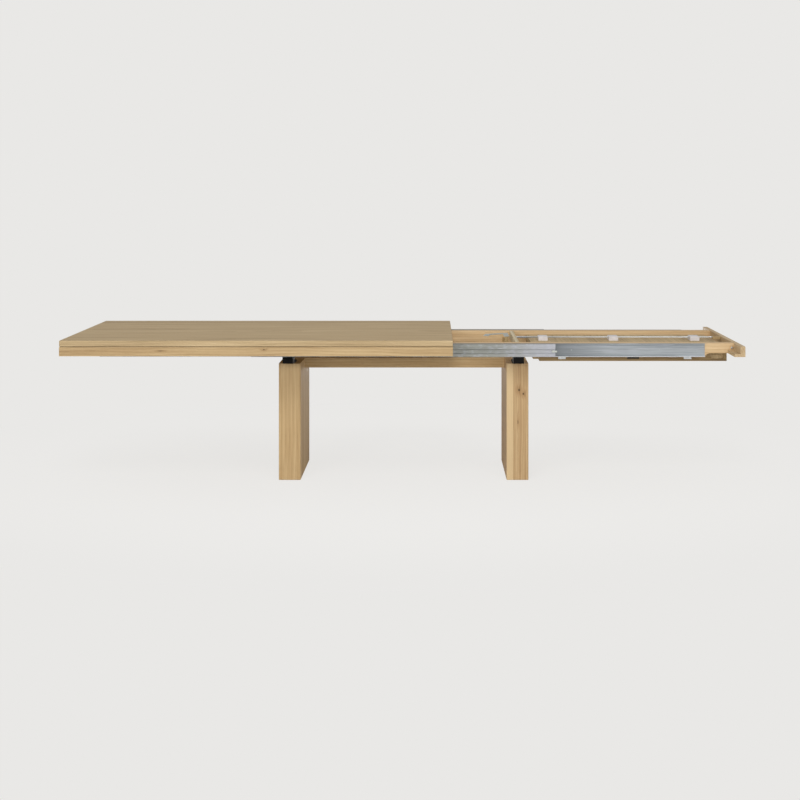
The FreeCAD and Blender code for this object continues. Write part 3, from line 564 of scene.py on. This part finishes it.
# The strap's brown tone is a painted reflection of the oak around it.
strap_steel = plated_steel("strap_steel", srgb(196, 172, 130), roughness=0.5)
black_metal = powder_coat("black_powder_coat", srgb(9, 8, 7))

# %% [markdown]
# The pads that press on the leaves, and the shoes that run in the rails, are moulded plastic: an
# even colour with a faint mottle, a soft gloss and the fine spark-eroded texture of a mould.  The
# tray's rubber bumpers come out of such a mould too.

# %% Plastic and rubber
# Noise scales in cycles a metre
MOULD_GRAIN = (1400.0, 1400.0, 1400.0)
MOTTLE = (45.0, 45.0, 45.0)

# Where the mottle fades, how dark it is, and how much the grain takes from the gloss
MOTTLE_FADES = (0.3, 0.7)
MOTTLE_SHARE = 0.9
GRAIN_ROUGHNESS = 0.15


def moulded(name, colour, roughness):
    """A moulded material with a faint mottle and the grain of its mould."""
    finish = Finish(name)
    place = finish.place()
    grain = finish.noise(MOULD_GRAIN, place, detail=2.0)
    mottle = finish.noise(MOTTLE, place).fade(*MOTTLE_FADES)
    finish.wire("Base Color", finish.mix(mottle, scaled(colour, MOTTLE_SHARE), colour))
    finish.wire("Roughness", roughness + grain * GRAIN_ROUGHNESS)
    finish.bump(grain, strength=0.15, distance=0.0002)
    return finish.material


white_plastic = moulded("white_moulded_plastic", srgb(220, 216, 217), roughness=0.42)
dark_rubber = moulded("dark_rubber", srgb(62, 52, 42), roughness=0.6)

# %% [markdown]
# Each solid of the construction gets its finish by the start of its name, and the first line that
# fits counts.  A solid is never moved or reshaped here; only its material slot changes.

# %% Give every solid its finish
FINISH_OF = (
    ("table_top", oak_top),
    ("apron_", oak_apron),
    ("leg_left", oak_left_leg),
    ("leg_right", oak_right_leg),
    ("stretcher_beam", oak_beam),
    ("bracket_", black_metal),
    ("lever_strap", strap_steel),
    ("fixed_rail_", rail_metal),
    ("left_runner_", runner_metal),
    ("right_runner_", runner_metal),
    ("left_shoe_", white_plastic),
    ("right_shoe_", white_plastic),
    ("rail_stop_", lever_steel),
    ("left_side_rail_", oak_rail),
    ("left_", oak_board),
    ("right_side_rail_", oak_rail),
    ("right_end_board", oak_board),
    ("inner_crossbar", oak_cross),
    ("rod_crossbar", oak_cross),
    ("leaf_tray", oak_tray),
    ("tray_end_block", oak_tray_end),
    ("tray_side_", oak_tray),
    ("tray_bumper_", dark_rubber),
    ("tray_hanger_", steel),
    ("stored_leaf_", oak_leaf),
    ("hold_down_rod", rod_steel),
    ("rod_socket", oak_block),
    ("leaf_pad_", white_plastic),
    ("lever_post", oak_block),
    ("turn_lever", lever_steel),
    ("lever_pin", steel),
)
for name, node in sorted(nodes.items()):
    material = next(finish for start, finish in FINISH_OF if name.startswith(start))
    node.data.materials.clear()
    node.data.materials.append(material)
print("finished solids:", len(nodes))

# %% [markdown]
# Screws hold the metal to the oak.  A head starts as a disc, is drawn up into a short drum, and
# is then stepped inwards to make a low dome.  The middle of the dome is pressed down again into
# a recess, and the recess is pinched into six lobes for the driver.  All the heads of one kind
# on one body are one mesh, because they are the same part out of one box.

# %% Screw heads
SEGMENTS = 24
LOBES = 6
LOBE_MIDDLE, LOBE_SWING = 0.84, 0.14

# The drum's share of the height, then steps inwards in radii and upwards in heights
DRUM_SHARE = 0.58
DOME_STEPS = ((0.04, 0.14), (0.16, 0.18), (0.26, 0.10))
RECESS_STEP = (0.0, -0.35)


def add_screw_head(mesh, place, out, radius, height):
    """A domed head at a place, its crown facing the way of out."""
    made = bmesh.ops.create_circle(mesh, cap_ends=True, segments=SEGMENTS, radius=radius)
    disc = made["verts"][0].link_faces[0]
    drum = bmesh.ops.extrude_face_region(mesh, geom=[disc])["geom"]
    cap = next(item for item in drum if isinstance(item, bmesh.types.BMFace))
    bmesh.ops.translate(mesh, verts=cap.verts, vec=(0, 0, height * DRUM_SHARE))
    cap.normal_update()
    if cap.normal.z < 0:
        cap.normal_flip()
    head = set(made["verts"]) | set(cap.verts)
    for inwards, rise in DOME_STEPS + (RECESS_STEP,):
        bmesh.ops.inset_individual(mesh, faces=[cap], thickness=inwards * radius,
                                   depth=rise * height)
        head |= set(cap.verts)
    for vert in cap.verts:
        angle = math.atan2(vert.co.y, vert.co.x)
        vert.co.xy *= LOBE_MIDDLE + LOBE_SWING * math.cos(LOBES * angle)
    turn = Vector((0, 0, 1)).rotation_difference(Vector(out)).to_matrix().to_4x4()
    bmesh.ops.transform(mesh, verts=list(head), matrix=Matrix.Translation(place) @ turn)


def screws(name, body, places, head, finish=steel):
    """One piece with a head of a radius and a height at every place, riding on a body."""
    mesh = bmesh.new()
    for place, out in places:
        add_screw_head(mesh, place, out, *head)
    bmesh.ops.recalc_face_normals(mesh, faces=mesh.faces)
    open_edges = sum(len(edge.link_faces) != 2 for edge in mesh.edges)
    data = bpy.data.meshes.new(name)
    mesh.to_mesh(data)
    mesh.free()
    piece = bpy.data.objects.new(name, data)
    piece.data.materials.append(finish)
    scene.collection.objects.link(piece)
    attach(piece, body)
    print(name, "heads:", len(places), "open edges:", open_edges)


# %% [markdown]
# The heads are placed from the boxes of the solids that they sit on.  Each is sunk by a hair, so
# that it never floats.  One bright screw sits near the end of each right side rail, on its outer
# face.  Rows of dull screws hold the runners to the oak rails.

# %% Screws along the draw frames
SUNK = 0.0002
FRONT, BACK = Vector((0, -1, 0)), Vector((0, 1, 0))
UP, DOWN = Vector((0, 0, 1)), Vector((0, 0, -1))
SIDES = (("front", FRONT), ("back", BACK))


def face_of(name, out):
    """How far out a node's box reaches in a direction, measured from the origin."""
    low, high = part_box(name)
    return max(Vector(low).dot(out), Vector(high).dot(out))


def spot(along, out, reach, level):
    """A point at a distance along the table and a height, on the face that looks out."""
    return Vector((along, 0, level)) + out * (reach - SUNK)


def between(start, end, share):
    """The place at a share of the way from start to end."""
    return start + (end - start) * share


# Radius and height of a head
END_SCREW = (0.0070, 0.0024)
RUNNER_SCREW = (0.0036, 0.0012)

END_SCREW_INSET = 0.008
END_SCREW_LEVEL = 0.7025
RUNNER_WALL = 0.003
RUNNER_SHARES = (0.13, 0.27, 0.56, 0.71, 0.85, 0.97)
end_screws = []
right_runner_screws = []
left_runner_screws = []
for side, out in SIDES:
    low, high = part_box(f"right_side_rail_{side}")
    reach = face_of(f"right_side_rail_{side}", out)
    end_screws.append((spot(high.x - END_SCREW_INSET, out, reach, END_SCREW_LEVEL), out))
    low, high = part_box(f"right_runner_{side}")
    level = (low.z + high.z) / 2
    for share in RUNNER_SHARES:
        along = between(low.x, high.x, share)
        right_runner_screws.append((spot(along, out, reach + RUNNER_WALL, level), out))
    low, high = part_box(f"left_runner_{side}")
    level = (low.z + high.z) / 2
    web = face_of(f"left_side_rail_{side}", -out) + RUNNER_WALL
    for share in RUNNER_SHARES:
        along = between(high.x, low.x, share)
        left_runner_screws.append((spot(along, -out, web, level), -out))
screws("rail_end_screws", "right_frame", end_screws, END_SCREW)
screws("right_runner_screws", "right_frame", right_runner_screws, RUNNER_SCREW, screw_steel)
screws("left_runner_screws", "left_frame", left_runner_screws, RUNNER_SCREW, screw_steel)

# %% [markdown]
# The tray hangs from steel angles that are screwed up into the side rails.  The black brackets
# are bolted down on the legs.

# %% Screws of the hangers and the brackets
# Radius and height of a head, its distance from the edge and the thickness of its steel
HANGER_SCREW = (0.0042, 0.0016)
HANGER_SCREW_INSET = 0.009
HANGER_STEEL = 0.003
BRACKET_BOLT = (0.0055, 0.0022)
BRACKET_BOLT_INSET = 0.030
BRACKET_PLATE = 0.009
PAIR_SHARES = (0.25, 0.75)
hanger_screws = []
bracket_bolts = []
for side, out in SIDES:
    for place in ("inner", "outer"):
        name = f"tray_hanger_{place}_{side}"
        low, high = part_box(name)
        reach = face_of(name, out) - HANGER_SCREW_INSET
        flange = high.z - HANGER_STEEL + SUNK
        for share in PAIR_SHARES:
            along = between(low.x, high.x, share)
            hanger_screws.append((Vector((along, out.y * reach, flange)), DOWN))
    for end in ("left", "right"):
        name = f"bracket_{end}_{side}"
        low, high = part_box(name)
        reach = -face_of(name, -out) + BRACKET_BOLT_INSET
        foot = low.z + BRACKET_PLATE - SUNK
        for share in PAIR_SHARES:
            along = between(low.x, high.x, share)
            bracket_bolts.append((Vector((along, out.y * reach, foot)), UP))
screws("hanger_screws", "right_frame", hanger_screws, HANGER_SCREW)
screws("bracket_bolts", "base", bracket_bolts, BRACKET_BOLT, black_metal)

# %% [markdown]
# The studio is a pale sweep.  The floor keeps a faint shadow close to the table.  Further out it
# shows the same pale tone as the sky behind it, so that no horizon is seen.  Near the table that
# tone is a little lighter, which makes up for the lamps' weaker light on the floor.

# %% Floor and sky
STUDIO_TONE = srgb(233, 232, 230)
PAPER_TONE = srgb(226, 225, 223)
FLOOR_SIDE = 120.0
FLOOR_DROP = 0.0005

# How much real light and shadow the floor shows near the table, and where that fades out
SHADOW_SHARE = 0.16
SHADOW_FADES = (0.9, 2.2)
EAST_SHARE = 0.5  # below 1, so that the oval is longer along the table
NEAR_GAIN = 1.07

SKY_LIGHT = 0.50
SKY_TINT = (1.0, 0.99, 0.975, 1.0)

floor_mesh = bmesh.new()
bmesh.ops.create_grid(floor_mesh, x_segments=1, y_segments=1, size=FLOOR_SIDE / 2)
floor_data = bpy.data.meshes.new("studio_floor")
floor_mesh.to_mesh(floor_data)
floor_mesh.free()
floor = bpy.data.objects.new("studio_floor", floor_data)
floor.location = (0, 0, -FLOOR_DROP)
scene.collection.objects.link(floor)

paper = Finish("studio_floor", Roughness=0.9, Base_Color=PAPER_TONE)
east, north, _ = paper.place()
away = (east * east * EAST_SHARE + north * north).root()
near = 1.0 - away.fade(*SHADOW_FADES)
seen = paper.add("ShaderNodeLightPath", output="Is Camera Ray")
tone = paper.mix(near, STUDIO_TONE, scaled(STUDIO_TONE, NEAR_GAIN))
glow = paper.add("ShaderNodeEmission", inputs={"Color": tone, "Strength": 1.0})
real = Value(paper, paper.shader.outputs[0])
glow_share = seen * (1.0 - near * SHADOW_SHARE)
surface = paper.add("ShaderNodeMixShader", inputs={0: glow_share, 1: real, 2: glow})
paper.show(surface, "Material Output")
floor.data.materials.append(paper.material)

world = bpy.data.worlds.new("studio_sky")
scene.world = world
world.use_nodes = True
sky = Network(world.node_tree)
light = sky.add("ShaderNodeBackground", inputs={"Color": SKY_TINT, "Strength": SKY_LIGHT})
pale = sky.add("ShaderNodeBackground", inputs={"Color": STUDIO_TONE, "Strength": 1.0})
seen = sky.add("ShaderNodeLightPath", output="Is Camera Ray")
sky.show(sky.add("ShaderNodeMixShader", inputs={0: seen, 1: light, 2: pale}), "World Output")

# %% [markdown]
# Four soft boxes light the table.  Two stand low in front, one at each side.  They light the
# edges and the legs more than the top, and cast the legs' shadows inwards across the floor.  A
# large one hangs higher, so that the top's edge shades the upper legs.  A weak one behind keeps
# the far side from going dull; it stays below the top, which would mirror it.  No lamp is seen.

# %% Lamps
# Name, place, the point it is aimed at, side of its square, and power in watts
LAMPS = (
    ("high_light", (-0.6, -5.2, 6.2), (0.0, 0.0, 0.5), 2.4, 165),
    ("left_light", (-3.1, -6.2, 2.3), (0.0, 0.0, 0.6), 1.5, 98),
    ("right_light", (3.1, -6.2, 2.3), (0.0, 0.0, 0.6), 1.5, 82),
    ("back_light", (0.0, 6.0, 0.38), (0.0, 0.0, 0.38), 0.7, 50),
)
for name, place, aim, side, watts in LAMPS:
    lamp_data = bpy.data.lights.new(name, "AREA")
    lamp_data.shape = "SQUARE"
    lamp_data.size = side
    lamp_data.energy = watts
    lamp = bpy.data.objects.new(name, lamp_data)
    lamp.location = place
    lamp.visible_camera = False
    lamp.rotation_euler = (Vector(aim) - Vector(place)).to_track_quat("-Z", "Y").to_euler()
    scene.collection.objects.link(lamp)
scene.view_settings.view_transform = "Standard"
print("lamps:", len(LAMPS))
